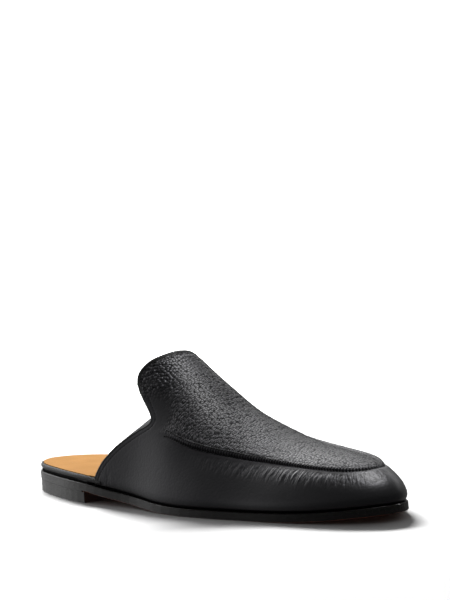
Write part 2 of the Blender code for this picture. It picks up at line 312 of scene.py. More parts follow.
def lay_sheet(name, rows, every):
    """A sheet of leather over the last: a grid whose columns run from the medial foot over
    the crest to the lateral foot and whose rows run from the topline to the tip of the toe."""
    lateral, medial = column_climbs()
    keep = sorted({*range(0, SIDE_COLUMNS - 1, every), SIDE_COLUMNS - 1})
    paths = [column_path(last_sides[1], INNER_TOPLINE, medial[k], rows) for k in keep]
    paths += [column_path(last_sides[0], TOPLINE, lateral[k], rows) for k in keep[-2::-1]]
    return add_grid(name, in_place(np.array(paths)))


def pick(*pieces):
    """Select these pieces alone, the first of them active."""
    bpy.ops.object.select_all(action="DESELECT")
    for piece in pieces:
        piece.select_set(True)
    bpy.context.view_layer.objects.active = pieces[0] if pieces else None


def add_grid(name, points):
    """A grid laid through lines of points, and the line and the place on it of each vertex."""
    lines, steps = points.shape[0] - 1, points.shape[1] - 1
    pick()
    bpy.ops.mesh.primitive_grid_add(x_subdivisions=lines, y_subdivisions=steps, size=1.0)
    grid = bpy.context.object
    grid.name = grid.data.name = name
    flat = read_vertices(grid)
    column = np.rint((flat[:, 0] + 0.5) * lines).astype(int)
    row = np.rint((flat[:, 1] + 0.5) * steps).astype(int)
    place_vertices(grid, points[column, row])
    return grid, column, row


def read_vertices(piece):
    """The places of a mesh's vertices, one row each."""
    places = np.zeros(len(piece.data.vertices) * 3)
    piece.data.vertices.foreach_get("co", places)
    return places.reshape(-1, 3)


def place_vertices(piece, places):
    """Put the mesh's vertices at these places."""
    piece.data.vertices.foreach_set("co", np.ascontiguousarray(places, dtype=np.float32).ravel())
    piece.data.update()


def read_normals(piece):
    """The outward directions of a mesh's vertices, one row each."""
    normals = np.zeros(len(piece.data.vertices) * 3, np.float32)
    piece.data.vertex_normals.foreach_get("vector", normals)
    return normals.reshape(-1, 3).astype(float)


def even_line(points, pitch):
    """The line again, as points a pitch apart."""
    reach = along_line(points)
    return read_line(points, reach, np.linspace(0.0, reach[-1], int(reach[-1] / pitch) + 1))


def nearest_on(line, places):
    """For each place: how far along the line its nearest point is, and how far off."""
    reach = along_line(line)
    tangent = np.gradient(line, axis=0)
    tangent /= np.linalg.norm(tangent, axis=1)[:, None]
    tree = KDTree(len(line))
    for number, point in enumerate(line):
        tree.insert(point, number)
    tree.balance()
    number = np.array([tree.find(place)[1] for place in places])
    apart = places - line[number]
    forward = (apart * tangent[number]).sum(axis=1)
    off = np.sqrt(np.maximum((apart ** 2).sum(axis=1) - forward ** 2, 0.0))
    return reach[number] + forward, off


def rise(value, low, high):
    """0 at low, 1 at high, easing in and out between them."""
    share = np.clip((value - low) / (high - low), 0.0, 1.0)
    return share * share * (3.0 - 2.0 * share)


def swell(value, place, below, above):
    """A rounded swelling, 1 high at place, with its own width on each side."""
    offset = value - place
    return np.exp(-(offset / np.where(offset < 0.0, below, above)) ** 2)


vamp, column, row = lay_sheet("vamp", ROWS, 1)
flat_places = read_vertices(vamp)
flat_normals = read_normals(vamp)
vertex_at = np.zeros((column.max() + 1, ROWS + 1), int)
vertex_at[column, row] = np.arange(len(column))
# Both sides of the sheet end on one rib at the tip of the toe, and face the same way there.
toe_rib = flat_normals[vertex_at[:, ROWS]]
toe_rib = toe_rib + toe_rib[::-1]
flat_normals[vertex_at[:, ROWS]] = toe_rib / np.linalg.norm(toe_rib, axis=1)[:, None]
from_crest = np.abs(column - (SIDE_COLUMNS - 1))
above_seam = from_crest < SIDE_COLUMNS - 1 - SEAM_COLUMN

sewn = STATIONS >= SEAM_BACK
seam_sides = [rib_point(side, STATIONS[sewn], climbs[sewn])
              for side, climbs in zip(last_sides, seam_climb)]
seam_line = even_line(in_place(np.vstack([seam_sides[0], seam_sides[1][-2::-1]])), 0.2 * MM)
seam_length = along_line(seam_line)[-1] / MM
seam_along, seam_off = nearest_on(seam_line, flat_places)
seam_along /= MM
seam_across = np.where(above_seam, seam_off, -seam_off) / MM

# The seam, across from the wall to the apron: a soft shoulder, a groove under the outer row of
# stitches, a thin ridge notched at every stitch, a groove under the inner row, and a shoulder.
# It dies out over SEAM_FADE at its back ends. Towards the front the apron's edge stands up and
# the wall below it swells, and both die away again at the very tip.
SEAM_FADE = 14.0
STITCH_PITCH = 1.75
OUTER_ROW = -0.6
INNER_ROW_BEHIND = 2.9
INNER_ROW_FRONT = 1.4
RIDGE_FOOT = -0.6
RIDGE_LEAST = 0.3
RIDGE_BEHIND = 1.3
RIDGE_FAR = 0.6
SCALLOP = 0.55
NOTCH = 0.65
GROOVE = 0.16
APRON_LIFT = 0.85
APRON_LIFT_WIDTH = 8.0
WALL_SWELL = 0.4


def toward_front(reach):
    """0 at the seam's back ends, 1 along its front."""
    return rise(np.minimum(reach, seam_length - reach), 50.0, 105.0)


def past_tip(reach):
    """0 along the seam's lateral half, 1 along its medial half."""
    return rise(reach, 0.5 * seam_length + 5.0, 0.5 * seam_length + 40.0)


def row_inside(reach):
    """How far inside the seam line the inner row of stitches runs."""
    ahead_row = INNER_ROW_FRONT + past_tip(reach)
    return INNER_ROW_BEHIND + (ahead_row - INNER_ROW_BEHIND) * toward_front(reach)


ahead = flat_places[:, 0] / MM + middle[0]
from_end = np.minimum(seam_along, seam_length - seam_along)
sewn_share = rise(from_end, 0.0, SEAM_FADE)
near_front = toward_front(seam_along)
at_tip = rise(ahead, 256.0, 278.0)
inner_row = row_inside(seam_along)
stitch_wave = 0.5 + 0.5 * np.cos(2.0 * math.pi * seam_along / STITCH_PITCH)
edge_place = seam_across + SCALLOP * (1.0 - stitch_wave)
ridge_height = (RIDGE_LEAST + RIDGE_BEHIND * rise(from_end, 3.0, 35.0) * (1.0 - near_front)
                + RIDGE_FAR * near_front * past_tip(seam_along))
ridge = (ridge_height * rise(edge_place, RIDGE_FOOT, 0.45)
         * (1.0 - rise(seam_across, inner_row - 1.2, inner_row + 0.1)))
notches = NOTCH * stitch_wave * swell(seam_across, -0.3, 0.6, 0.65)
groove = GROOVE * swell(seam_across, OUTER_ROW - 0.1, 0.6, 0.55)
inner_groove = (0.5 * GROOVE + 0.2 * stitch_wave) * swell(seam_across, inner_row, 0.4, 0.45)
shoulder = 0.22 * swell(seam_across, -2.6, 1.6, 1.0) + 0.20 * swell(seam_across, 4.7, 0.9, 2.2)
slope_off = np.clip(1.0 - seam_across / APRON_LIFT_WIDTH, 0.0, 1.0) ** 2
lift = (APRON_LIFT * near_front * (1.0 - 0.8 * at_tip) * rise(edge_place, RIDGE_FOOT, 0.5)
        * slope_off)
bulge = WALL_SWELL * near_front * (1.0 - at_tip) * swell(seam_across, -8.0, 4.5, 4.0)
height = sewn_share * (ridge - notches - groove - inner_groove + shoulder) + lift + bulge

# Puckers: each gather starts just below the seam and runs a little way down the wall.
random.seed(7)
PUCKER_START = 26.0
PUCKER_FULL = 66.0
PUCKER_HEIGHT = 0.42
PUCKER_BAND = (0.6, 18.0)
PUCKER_LENGTHS = (9.0, 15.0)
PUCKER_SHARES = (0.45, 1.0)
PUCKER_WIDTHS = (0.5, 0.75)
PUCKER_LEANS = (-0.16, 0.16)
PUCKER_STEPS = (1.6, 2.5)
place = PUCKER_START
puckers = np.zeros(len(flat_places))
while place < seam_length - PUCKER_START:
    length = random.uniform(*PUCKER_LENGTHS)
    tall = random.uniform(*PUCKER_SHARES)
    wide = random.uniform(*PUCKER_WIDTHS)
    lean = random.uniform(*PUCKER_LEANS)
    close = ((np.abs(seam_along - place) < 4.0) & (seam_across < -PUCKER_BAND[0])
             & (seam_across > -PUCKER_BAND[1]))
    down = -seam_across[close]
    across = seam_along[close] - place + lean * (down - 2.0)
    fading = rise(down, 2.4, 5.5) * (1.0 - rise(down, 0.35 * length, length + 2.0))
    puckers[close] += tall * np.exp(-(across / wide) ** 2) * fading
    place += random.uniform(*PUCKER_STEPS)
height += PUCKER_HEIGHT * rise(from_end, PUCKER_START, PUCKER_FULL) * (1.0 - 0.85 * at_tip) * puckers

# The top edge: a sewn line just inside the binding, and the tongue's edge rolled back a little.
EDGE_SEAM = 3.4
EDGE_ROLL = 0.9
TONGUE_STARTS, TONGUE_FULL = 60.0, 80.0
edge_line = flat_places[vertex_at[:, 0]]
edge_off = nearest_on(even_line(edge_line, 0.2 * MM), flat_places)[1] / MM
tongue = rise(flat_places[:, 2] / MM, TONGUE_STARTS, TONGUE_FULL)
height -= GROOVE * swell(edge_off, EDGE_SEAM, 0.45, 0.45)
height -= EDGE_ROLL * tongue * (1.0 - rise(edge_off, -1.0, 6.0))
place_vertices(vamp, flat_places + flat_normals * (height * MM)[:, None])


def add_numbers(piece, name, values):
    """Keep one number for each vertex, for the piece's material to read."""
    numbers = piece.data.attributes.new(name, "FLOAT", "POINT")
    numbers.data.foreach_set("value", values.astype(np.float32))


# Where the hide is coarse, polished, stretched into ribs, gathered or creased. The lateral
# notch is the foremost place of the topline, and the wing's foot its lowest.
notch = edge_line[np.argmax(np.where(edge_line[:, 1] < 0.0, edge_line[:, 0], -1.0))]
wing_foot = edge_line[np.argmin(np.where(edge_line[:, 1] < 0.0, edge_line[:, 2], 1.0))]
from_notch = np.linalg.norm(flat_places - notch, axis=1) / MM
from_foot = np.linalg.norm(flat_places - wing_foot, axis=1) / MM
below = -seam_across
add_numbers(vamp, "seam_across", seam_across)
add_numbers(vamp, "seam_along", seam_along)
add_numbers(vamp, "instep", rise(ahead, 128.0, 150.0) * (1.0 - rise(ahead, 195.0, 225.0)))
add_numbers(vamp, "front", rise(ahead, 185.0, 235.0))
add_numbers(vamp, "coarse", rise(seam_across, 0.3, 2.2) * rise(from_notch, 8.0, 22.0))
add_numbers(vamp, "polish", rise(ahead, 185.0, 225.0) * (1.0 - rise(seam_across, -2.0, 1.0)))
add_numbers(vamp, "wing_creases", 1.0 - rise(from_foot, 6.0, 30.0))
add_numbers(vamp, "gathers", rise(from_end, 20.0, 60.0) * rise(below, 2.0, 5.0)
            * (1.0 - rise(below, 8.0, 15.0)))


def edit(piece, steps):
    """Work on one piece alone in edit mode, all of it selected at first."""
    pick(piece)
    bpy.ops.object.mode_set(mode="EDIT")
    bpy.ops.mesh.select_mode(type="EDGE")
    bpy.ops.mesh.select_all(action="SELECT")
    steps()
    bpy.ops.object.mode_set(mode="OBJECT")


def join(pieces):
    """Join pieces into the first of them."""
    pick(*pieces)
    bpy.ops.object.join()
    return pieces[0]


WELD = 0.02 * MM
LEATHER = 1.25 * MM


def weld():
    """Join vertices that lie in one place, as where a sheet's lines meet at the tip of the toe."""
    bpy.ops.mesh.remove_doubles(threshold=WELD)


def sink(depth):
    """Weld the sheet and move it in from the surface of the last."""
    weld()
    bpy.ops.transform.shrink_fatten(value=-depth)


def flesh_side():
    """The inner face of the leather, looking inwards."""
    sink(LEATHER)
    bpy.ops.mesh.flip_normals()


def close_edges():
    """Join the two faces of the leather along its edge."""
    bpy.ops.mesh.select_all(action="DESELECT")
    bpy.ops.mesh.select_non_manifold(extend=False)
    bpy.ops.mesh.bridge_edge_loops(number_cuts=0)


vamp_back = lay_sheet("vamp_back", 50, 4)[0]
edit(vamp, weld)
edit(vamp_back, flesh_side)
join([vamp, vamp_back])
edit(vamp, close_edges)
vamp.data.shade_smooth()


class Reading:
    """What a node's socket gives at each place. Sums on a number add Math nodes."""

    def __init__(self, finish, socket):
        self.finish = finish
        self.socket = socket

    def math(self, operation, first, second):
        """A Math node on two numbers."""
        return self.finish.node("ShaderNodeMath", {"operation": operation}, {0: first, 1: second})

    def __add__(self, other):
        return self.math("ADD", self, other)

    def __radd__(self, other):
        return self.math("ADD", other, self)

    def __sub__(self, other):
        return self.math("SUBTRACT", self, other)

    def __rsub__(self, other):
        return self.math("SUBTRACT", other, self)

    def __mul__(self, other):
        return self.math("MULTIPLY", self, other)

    def __rmul__(self, other):
        return self.math("MULTIPLY", other, self)

    def __pow__(self, other):
        return self.math("POWER", self, other)

    def __rpow__(self, other):
        return self.math("POWER", other, self)


class Nodes:
    """The nodes of a material, or of the studio's air."""

    def __init__(self, tree):
        self.tree = tree

    def node(self, kind, settings, sockets, output=0):
        """Add a node: its settings first, then the values or links of its sockets."""
        node = self.tree.nodes.new(kind)
        for name, value in settings.items():
            setattr(node, name, value)
        for name, value in sockets.items():
            if isinstance(value, Reading):
                self.tree.links.new(value.socket, node.inputs[name])
            else:
                node.inputs[name].default_value = value
        return Reading(self, node.outputs[output])

    def part(self, vector, axis):
        """The x, y or z of a place or direction."""
        return self.node("ShaderNodeSeparateXYZ", {}, {0: vector}, "XYZ".index(axis))

    def vector_math(self, operation, sockets, output="Vector"):
        """Sums on places, directions and colours."""
        return self.node("ShaderNodeVectorMath", {"operation": operation}, sockets, output)

    def rise(self, value, low, high, start=0.0, end=1.0):
        """start at low, end at high, easing between them."""
        sockets = {"Value": value, "From Min": low, "From Max": high, "To Min": start, "To Max": end}
        return self.node("ShaderNodeMapRange", {"interpolation_type": "SMOOTHSTEP"}, sockets, "Result")


class Finish(Nodes):
    """The finish of a surface: a Principled material and the nodes that vary it."""

    def __init__(self, name, **constants):
        self.material = bpy.data.materials.new(name)
        self.material.use_nodes = True
        super().__init__(self.material.node_tree)
        self.shader = self.tree.nodes["Principled BSDF"]
        for socket, value in constants.items():
            self.shader.inputs[socket.replace("_", " ")].default_value = value

    def cover(self, piece):
        """Give a piece this finish alone."""
        piece.data.materials.clear()
        piece.data.materials.append(self.material)

    def place(self):
        """Where the surface is, on the piece."""
        return self.node("ShaderNodeTexCoord", {}, {}, "Object")

    def number(self, name):
        """A number kept on the mesh."""
        return self.node("ShaderNodeAttribute", {"attribute_name": name}, {}, "Fac")

    def facing(self, axis):
        """How far the surface faces along x, y or z: 1 straight that way, -1 the other."""
        return self.part(self.node("ShaderNodeTexCoord", {}, {}, "Normal"), axis)

    def stretch(self, vector, scale):
        """A place scaled on each axis, so that a pattern on it is drawn out."""
        return self.node("ShaderNodeMapping", {}, {"Vector": vector, "Scale": scale}, "Vector")

    def noise(self, vector, size, detail=2.0, rough=0.5, output="Fac"):
        """Soft clouds about size across."""
        sockets = {"Vector": vector, "Scale": 1.0 / size, "Detail": detail, "Roughness": rough}
        return self.node("ShaderNodeTexNoise", {}, sockets, output)

    def cells(self, vector, size, spread=1.0, feature="F1"):
        """Cells about size across: how far each place is from the middle of its cell."""
        sockets = {"Vector": vector, "Scale": 1.0 / size, "Randomness": spread}
        return self.node("ShaderNodeTexVoronoi", {"feature": feature}, sockets, "Distance")

    def cell_edges(self, vector, size, spread=1.0):
        """The same cells: how far each place is from the nearest edge between them."""
        return self.cells(vector, size, spread, "DISTANCE_TO_EDGE")

    def mix(self, share, first, second):
        """A colour between two."""
        return self.node("ShaderNodeMix", {"data_type": "RGBA"}, {0: share, 6: first, 7: second}, 2)

    def bend(self, vector, size, reach):
        """A place moved about by soft clouds, so that a pattern on it isn't straight."""
        clouds = self.noise(vector, size, 1.0, 0.5, "Color")
        centred = self.vector_math("SUBTRACT", {0: clouds, 1: (0.5, 0.5, 0.5)})
        shift = self.vector_math("SCALE", {0: centred, "Scale": reach})
        return self.vector_math("ADD", {0: vector, 1: shift})

    def set(self, **readings):
        """Link readings to the shader's sockets."""
        for socket, value in readings.items():
            self.tree.links.new(value.socket, self.shader.inputs[socket.replace("_", " ")])

    def raise_surface(self, height, depth):
        """Light the surface as if it rose by height times depth metres."""
        sockets = {"Height": height, "Distance": depth, "Strength": 1.0}
        self.set(Normal=self.node("ShaderNodeBump", {}, sockets, "Normal"))

    def paint_shade(self, share, colour):
        """Painted shade: where share is 1, as at the bottom of a fold, the surface turns into a matt
        shader of the given dark colour, standing in for shadow.
        """
        shade_bsdf = self.node("ShaderNodeBsdfDiffuse", {}, {"Color": colour})
        shining = Reading(self, self.shader.outputs["BSDF"])
        blend = self.node("ShaderNodeMixShader", {}, {0: share, 1: shining, 2: shade_bsdf})
        self.tree.links.new(blend.socket, self.tree.nodes["Material Output"].inputs["Surface"])


PEBBLE, PEBBLE_SPREAD = 1.85 * MM, 0.6
RIB, RIB_SPREAD = 1.5 * MM, 0.75
FINE = 1.5 * MM
FOLD_WIDTH = 0.17
GRAIN_DEPTH = 0.6 * MM
GATHER_SHARE = 0.7
WING_CREASE_SHARE = 0.35
CALF_DEEP = (0.0018, 0.0018, 0.0020, 1.0)
CALF_DARK = (0.0020, 0.0020, 0.0024, 1.0)
CALF_LIGHT = (0.0034, 0.0034, 0.0040, 1.0)
# painted shade for the bottoms of the grain's fold lines
CALF_FOLD_SHADE = (0.003, 0.003, 0.0034, 1.0)


def pebbles(vector, size, spread=1.0):
    """The rounded pebbles of the grain, 1 on top and falling away to all sides."""
    return 1.0 - calf.cells(vector, size, spread) ** 2.0


def fold_shade_between(vector, size, spread=1.0):
    """Where shade is painted in the fine fold lines between those pebbles, 1 at the bottom of a fold."""
    return calf.rise(calf.cell_edges(vector, size, spread), 0.0, FOLD_WIDTH, 1.0, 0.0)


calf = Finish("grained_calf", Specular_IOR_Level=0.32, Coat_Roughness=0.34,
              Specular_Tint=(0.92, 0.91, 1.0, 1.0))
instep = calf.number("instep")
front = calf.number("front")
coarse = calf.number("coarse")
polish = calf.number("polish")

# Round pebbles on the tongue, ribs across the instep where the last stretches the hide, and a
# finer grain on the front of the apron. Below the seam the hide is almost smooth.
spot = calf.bend(calf.place(), 3.0 * MM, 0.15 * MM)
ribs = calf.stretch(spot, (1.7, 0.65, 0.65))
off_instep = 1.0 - instep
large = (pebbles(ribs, RIB, RIB_SPREAD) * instep * 1.35
         + pebbles(spot, PEBBLE, PEBBLE_SPREAD) * off_instep * 1.2)
fine = pebbles(spot, FINE)
lively = large * (1.0 - front) + fine * front
grain = lively * coarse + fine * (1.0 - coarse) * 0.1
hide = calf.noise(calf.place(), 0.35 * MM, 3.0)

# Creases run down the wall from the gathers, and upright ones rise from the foot of the wing.
sockets = {0: calf.number("seam_along"), 1: calf.number("seam_across") * 0.3}
down = calf.node("ShaderNodeCombineXYZ", {}, sockets)
crease = calf.cells(calf.bend(down, 2.5, 1.2), 1.15) ** 2.0 * calf.number("gathers")
upright = calf.stretch(calf.bend(calf.place(), 6.0 * MM, 2.0 * MM), (1.0, 1.0, 0.3))
wing_crease = calf.cells(upright, 1.9 * MM) ** 2.0 * calf.number("wing_creases")
creases = crease * GATHER_SHARE + wing_crease * WING_CREASE_SHARE
calf.raise_surface(grain + hide * 0.04 - creases, GRAIN_DEPTH)

# Painted shade: the bottom of each fold line turns dark and matt, standing in for the shadow there,
# which sets the pebbles apart.
large_fold_shade = (fold_shade_between(ribs, RIB, RIB_SPREAD) * instep
               + fold_shade_between(spot, PEBBLE, PEBBLE_SPREAD) * off_instep)
fold_shade = large_fold_shade * (1.0 - front) + fold_shade_between(spot, FINE) * front * 0.85
calf.paint_shade(fold_shade * coarse * 0.8, CALF_FOLD_SHADE)
shade = calf.mix(calf.noise(calf.place(), 14.0 * MM, 3.0), CALF_DARK, CALF_LIGHT)
calf.set(Base_Color=calf.mix(grain, CALF_DEEP, shade))
calf.set(Roughness=calf.rise(grain, 0.1, 1.0, 0.58, 0.32) - polish * 0.1 - (1.0 - coarse) * 0.05)
calf.set(Coat_Weight=polish * 0.35 + (calf.rise(grain, 0.45, 1.1, 0.0, 0.3) + front * 0.12) * coarse)
calf.cover(vamp)
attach(vamp, "root")
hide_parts("upper")

# --------------------------------------------------------------------------------- lining
# Thin smooth black calf, cut to the shape of the vamp and glued to its flesh side before the
# shoe is lasted. It runs from the top edge down to the foot of the vamp.
LINING = 0.6 * MM
GLUE = 0.05 * MM
LINING_DARK = (0.006, 0.006, 0.006, 1.0)
LINING_LIGHT = (0.014, 0.013, 0.013, 1.0)
lining = lay_sheet("lining", 60, 3)[0]
edit(lining, lambda: sink(LEATHER + GLUE))
solid = lining.modifiers.new("thickness", "SOLIDIFY")
solid.thickness = LINING
solid.offset = -1.0
bpy.ops.object.modifier_apply(modifier="thickness")
lining.data.shade_smooth()
lining_calf = Finish("lining_calf", Specular_IOR_Level=0.35)
spot = lining_calf.place()
pores = lining_calf.rise(lining_calf.cell_edges(spot, 0.6 * MM), 0.0, 0.2)
lining_calf.raise_surface(pores + lining_calf.noise(spot, 2.0 * MM) * 0.6, 0.05 * MM)
lining_shade = lining_calf.noise(spot, 9.0 * MM, 4.0)
lining_calf.set(Base_Color=lining_calf.mix(lining_shade, LINING_DARK, LINING_LIGHT))
lining_calf.set(Roughness=lining_calf.rise(lining_calf.noise(spot, 5.0 * MM), 0.3, 0.7, 0.5, 0.65))
lining_calf.cover(lining)
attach(lining, "root")

# -------------------------------------------------------------------------------- binding
# A narrow strip of smooth black leather, folded over the raw top edges of vamp and lining and
# sewn down through both. It is fuller round the tongue than along the wings.
BINDING_HALF_WIDTH = 1.55
WING_SHARE = 0.55
BINDING_HALF_THICKNESS = 1.22
BINDING_DEPTH = 1.0
BINDING_OVERHANG = 0.2
BINDING_STEP = 0.7 * MM
BINDING_DARK = (0.0016, 0.0016, 0.0018, 1.0)
BINDING_LIGHT = (0.0032, 0.0032, 0.0035, 1.0)


def frames_along(points, normals):
    """For a line on the leather: its direction, the surface's outward one and the one across."""
    tangent = np.gradient(points, axis=0)
    tangent /= np.linalg.norm(tangent, axis=1)[:, None]
    out = normals - (normals * tangent).sum(axis=1)[:, None] * tangent
    out /= np.linalg.norm(out, axis=1)[:, None]
    return tangent, out, np.cross(out, tangent)


def even_out(line, times):
    """Smooth the rows of a line between its two ends."""
    for _ in range(times):
        line[1:-1] = (line[:-2] + 2.0 * line[1:-1] + line[2:]) / 4.0


def rings_along(line, first, second, half_first, half_second, sides, squareness=1.0):
    """A ring of points round each place of a line, with its half widths in two directions."""
    turns = np.linspace(0.0, 2.0 * math.pi, sides, endpoint=False)
    waves = [np.sign(wave) * np.abs(wave) ** squareness for wave in (np.cos(turns), np.sin(turns))]
    reach_first = (np.reshape(half_first, (-1, 1)) * waves[0])[..., None]
    reach_second = (np.reshape(half_second, (-1, 1)) * waves[1])[..., None]
    return line[:, None] + first[:, None] * reach_first + second[:, None] * reach_second


def close_tube():
    """Weld the tube along its length and fill its two ends."""
    weld()
    bpy.ops.mesh.fill_holes(sides=0)
    bpy.ops.mesh.normals_make_consistent(inside=False)


def sweep(name, rings):
    """A closed tube through rings of points."""
    tube = add_grid(name, np.concatenate([rings, rings[:, :1]], axis=1))[0]
    edit(tube, close_tube)
    tube.data.shade_smooth()
    return tube


edge_reach = along_line(edge_line)
edge_places = np.linspace(0.0, edge_reach[-1], int(edge_reach[-1] / BINDING_STEP) + 1)
edge_points = read_line(edge_line, edge_reach, edge_places)
edge_out = read_line(flat_normals[vertex_at[:, 0]], edge_reach, edge_places)
even_out(edge_points, 6)
even_out(edge_out, 6)
edge_run, edge_out, edge_inward = frames_along(edge_points, edge_out)
on_tongue = rise(edge_points[:, 2] / MM, TONGUE_STARTS, TONGUE_FULL)[:, None]
half_width = BINDING_HALF_WIDTH * (WING_SHARE + (1.0 - WING_SHARE) * on_tongue)
depth = BINDING_DEPTH + 0.5 * EDGE_ROLL * on_tongue
core = edge_points + edge_inward * (half_width - BINDING_OVERHANG) * MM - edge_out * depth * MM
binding = sweep("topline_binding", rings_along(core, edge_out, edge_inward, BINDING_HALF_THICKNESS * MM,
                                               half_width * MM, 14, 0.75))
strip = Finish("binding_calf", Specular_IOR_Level=0.25)
spot = strip.place()
strip_grain = strip.rise(strip.cell_edges(spot, 0.45 * MM), 0.0, 0.3)
strip.raise_surface(strip_grain * 0.4 + strip.noise(spot, 1.6 * MM), 0.06 * MM)
strip.set(Base_Color=strip.mix(strip.noise(spot, 6.0 * MM, 3.0), BINDING_DARK, BINDING_LIGHT))
strip.set(Roughness=strip.rise(strip.noise(spot, 3.0 * MM, 3.0), 0.3, 0.7, 0.42, 0.56))
strip.cover(binding)
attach(binding, "root")

# ------------------------------------------------------------------------------- stitches
# Waxed black thread: a fine machine row just inside the binding, and the coarser hand-sewn
# stitches that pass through the pinched seam and show on both of its flanks.
THREAD_DARK = (0.0010, 0.0010, 0.0011, 1.0)
THREAD_LIGHT = (0.0028, 0.0027, 0.0028, 1.0)
EDGE_PITCH = 2.0
EDGE_STITCH = (1.45, 0.34, 0.30)  # length, width, height
SEAM_STITCH_LENGTH = 1.2
OUTER_STITCH_WIDTH = 0.78
INNER_STITCH_WIDTH = 0.72
STITCH_LEAN = math.radians(32.0)


def one_stitch(length, width, tall):
    """A single short stitch of thread, lying along x."""
    pick()
    bpy.ops.mesh.primitive_uv_sphere_add(segments=8, ring_count=6, radius=1.0,
                                         rotation=(0.0, math.pi / 2, 0.0))
    stitch = bpy.context.object
    stitch.scale = (tall * MM / 2.0, width * MM / 2.0, length * MM / 2.0)
    bpy.ops.object.transform_apply(location=True, rotation=True, scale=True)
    return stitch


def on_leather(points):
    """The nearest places on the finished vamp, and its outward directions there."""
    found = [vamp.closest_point_on_mesh(Vector(point)) for point in points]
    return np.array([place for _, place, _, _ in found]), np.array([normal for _, _, normal, _ in found])


def sew(name, size, places, runs, lean, proud):
    """A row of stitches on the leather near these places, each turned by lean from its run."""
    places, outs = on_leather(places)
    runs = runs - (runs * outs).sum(axis=1)[:, None] * outs
    runs /= np.linalg.norm(runs, axis=1)[:, None]
    runs = runs * math.cos(lean) + np.cross(outs, runs) * math.sin(lean)
    pattern = one_stitch(*size)
    copies = []
    for place, run, out in zip(places + outs * proud, runs, outs):
        side = np.cross(out, run)
        turn = Matrix(np.stack([run, side / np.linalg.norm(side), out], axis=1).tolist()).to_4x4()
        turn.translation = Vector(place)
        copy = bpy.data.objects.new(name, pattern.data.copy())
        bpy.context.collection.objects.link(copy)
        copy.data.transform(turn)
        copies.append(copy)
    bpy.data.objects.remove(pattern)
    stitches = join(copies)
    stitches.name = stitches.data.name = name
    stitches.data.shade_smooth()
    thread.cover(stitches)
    return stitches


thread = Finish("waxed_thread", Specular_IOR_Level=0.12)
twist = thread.noise(thread.place(), 0.25 * MM)
thread.raise_surface(twist, 0.08 * MM)
thread.set(Base_Color=thread.mix(twist, THREAD_DARK, THREAD_LIGHT))
thread.set(Roughness=thread.rise(twist, 0.3, 0.7, 0.5, 0.7))

picks = np.arange(2.0 * EDGE_PITCH, edge_places[-1] / MM - 2.0 * EDGE_PITCH, EDGE_PITCH) * MM
sewn_edge = read_line(edge_points + edge_inward * (EDGE_SEAM * MM), edge_places, picks)
edge_stitches = sew("topline_stitches", EDGE_STITCH, sewn_edge,
                    read_line(edge_run, edge_places, picks), 0.0, 0.02 * MM)
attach(edge_stitches, "root")

seam_normals = on_leather(seam_line)[1]
even_out(seam_normals, 200)
seam_run, _, seam_inward = frames_along(seam_line, seam_normals)
seam_reach = along_line(seam_line)
picks = np.round(np.arange(4.0, seam_length - 4.0, STITCH_PITCH) / STITCH_PITCH) * STITCH_PITCH
outer_places = np.full(len(picks), OUTER_ROW + 0.2)
for name, across, width in (("apron_stitches_outer", outer_places, OUTER_STITCH_WIDTH),
                            ("apron_stitches_inner", row_inside(picks), INNER_STITCH_WIDTH)):
    on_line = read_line(seam_line, seam_reach, picks * MM)
    to_row = read_line(seam_inward, seam_reach, picks * MM) * across[:, None] * MM
    runs = read_line(seam_run, seam_reach, picks * MM)
    size = (SEAM_STITCH_LENGTH, width, 0.7 * width)
    stitches = sew(name, size, on_line + to_row, runs, STITCH_LEAN, 0.1 * width * MM)
    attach(stitches, "root")

# -------------------------------------------------------------------------------- outsole
# One piece of firm bark-tanned leather, cut to the outline and cemented under the lasted upper.
# Its edge is trimmed, inked black and waxed; the tread is stained chestnut.
EDGE_DRESSING = 0.14 * MM
EDGE_DARK = (0.0040, 0.0038, 0.0036, 1.0)
EDGE_LIGHT = (0.0085, 0.0075, 0.0068, 1.0)
TREAD_DARK = (0.085, 0.022, 0.011, 1.0)
TREAD_LIGHT = (0.150, 0.046, 0.022, 1.0)


def wax_edge(piece):
    """The thin coat of ink and wax over a trimmed edge."""
    dressing = piece.modifiers.new("dressing", "DISPLACE")
    dressing.strength = EDGE_DRESSING
    dressing.mid_level = 0.0


sole = Finish("sole_leather", Specular_IOR_Level=0.19)
spot = sole.place()
under = sole.rise(sole.facing("Z"), -0.75, -0.25, 1.0, 0.0)
streak = sole.noise(sole.stretch(spot, (0.4, 1.6, 3.0)), 1.2 * MM, 3.0)
edge_colour = sole.mix(streak, EDGE_DARK, EDGE_LIGHT)
tread_colour = sole.mix(sole.noise(spot, 11.0 * MM, 5.0, 0.6), TREAD_DARK, TREAD_LIGHT)
sole.set(Base_Color=sole.mix(under, edge_colour, tread_colour))
sole.set(Roughness=sole.rise(streak, 0.3, 0.7, 0.34, 0.48))
sole.raise_surface(streak + sole.noise(spot, 0.4 * MM) * 0.5, 0.05 * MM)
outsole = nodes["outsole"]
wax_edge(outsole)
sole.cover(outsole)

# ----------------------------------------------------------------------------------- heel
# A low block of leather lifts, cemented and nailed under the sole's seat and trimmed flush with
# it. Its sides are inked black, its hollowed breast is stained, and wax fills the joint.
HEEL_LIGHT = (0.0090, 0.0078, 0.0070, 1.0)
BREAST_DARK = (0.020, 0.0075, 0.0048, 1.0)
BREAST_LIGHT = (0.050, 0.016, 0.009, 1.0)
JOINT_INSET = 0.40
JOINT_END = 79.5
JOINT_DROP = 0.1
JOINT_HALF_WIDTH = 0.52 * MM
JOINT_HALF_HEIGHT = 0.9 * MM
RING_STEP = 1.5 * MM


def round_the_heel(inset, end, height):
    """A line inside the sole's edge, from one side round the heel to the other, a set height
    over the sole's underside."""
    line = outline - outward(outline) * inset
    line = np.roll(line, len(line) // 2 - int(np.argmin(line[:, 0])), axis=0)
    line = line[line[:, 0] < end]
    level = smooth(TREAD, line[:, 0]) + height
    return even_line(in_place(np.column_stack([line, level])), RING_STEP)


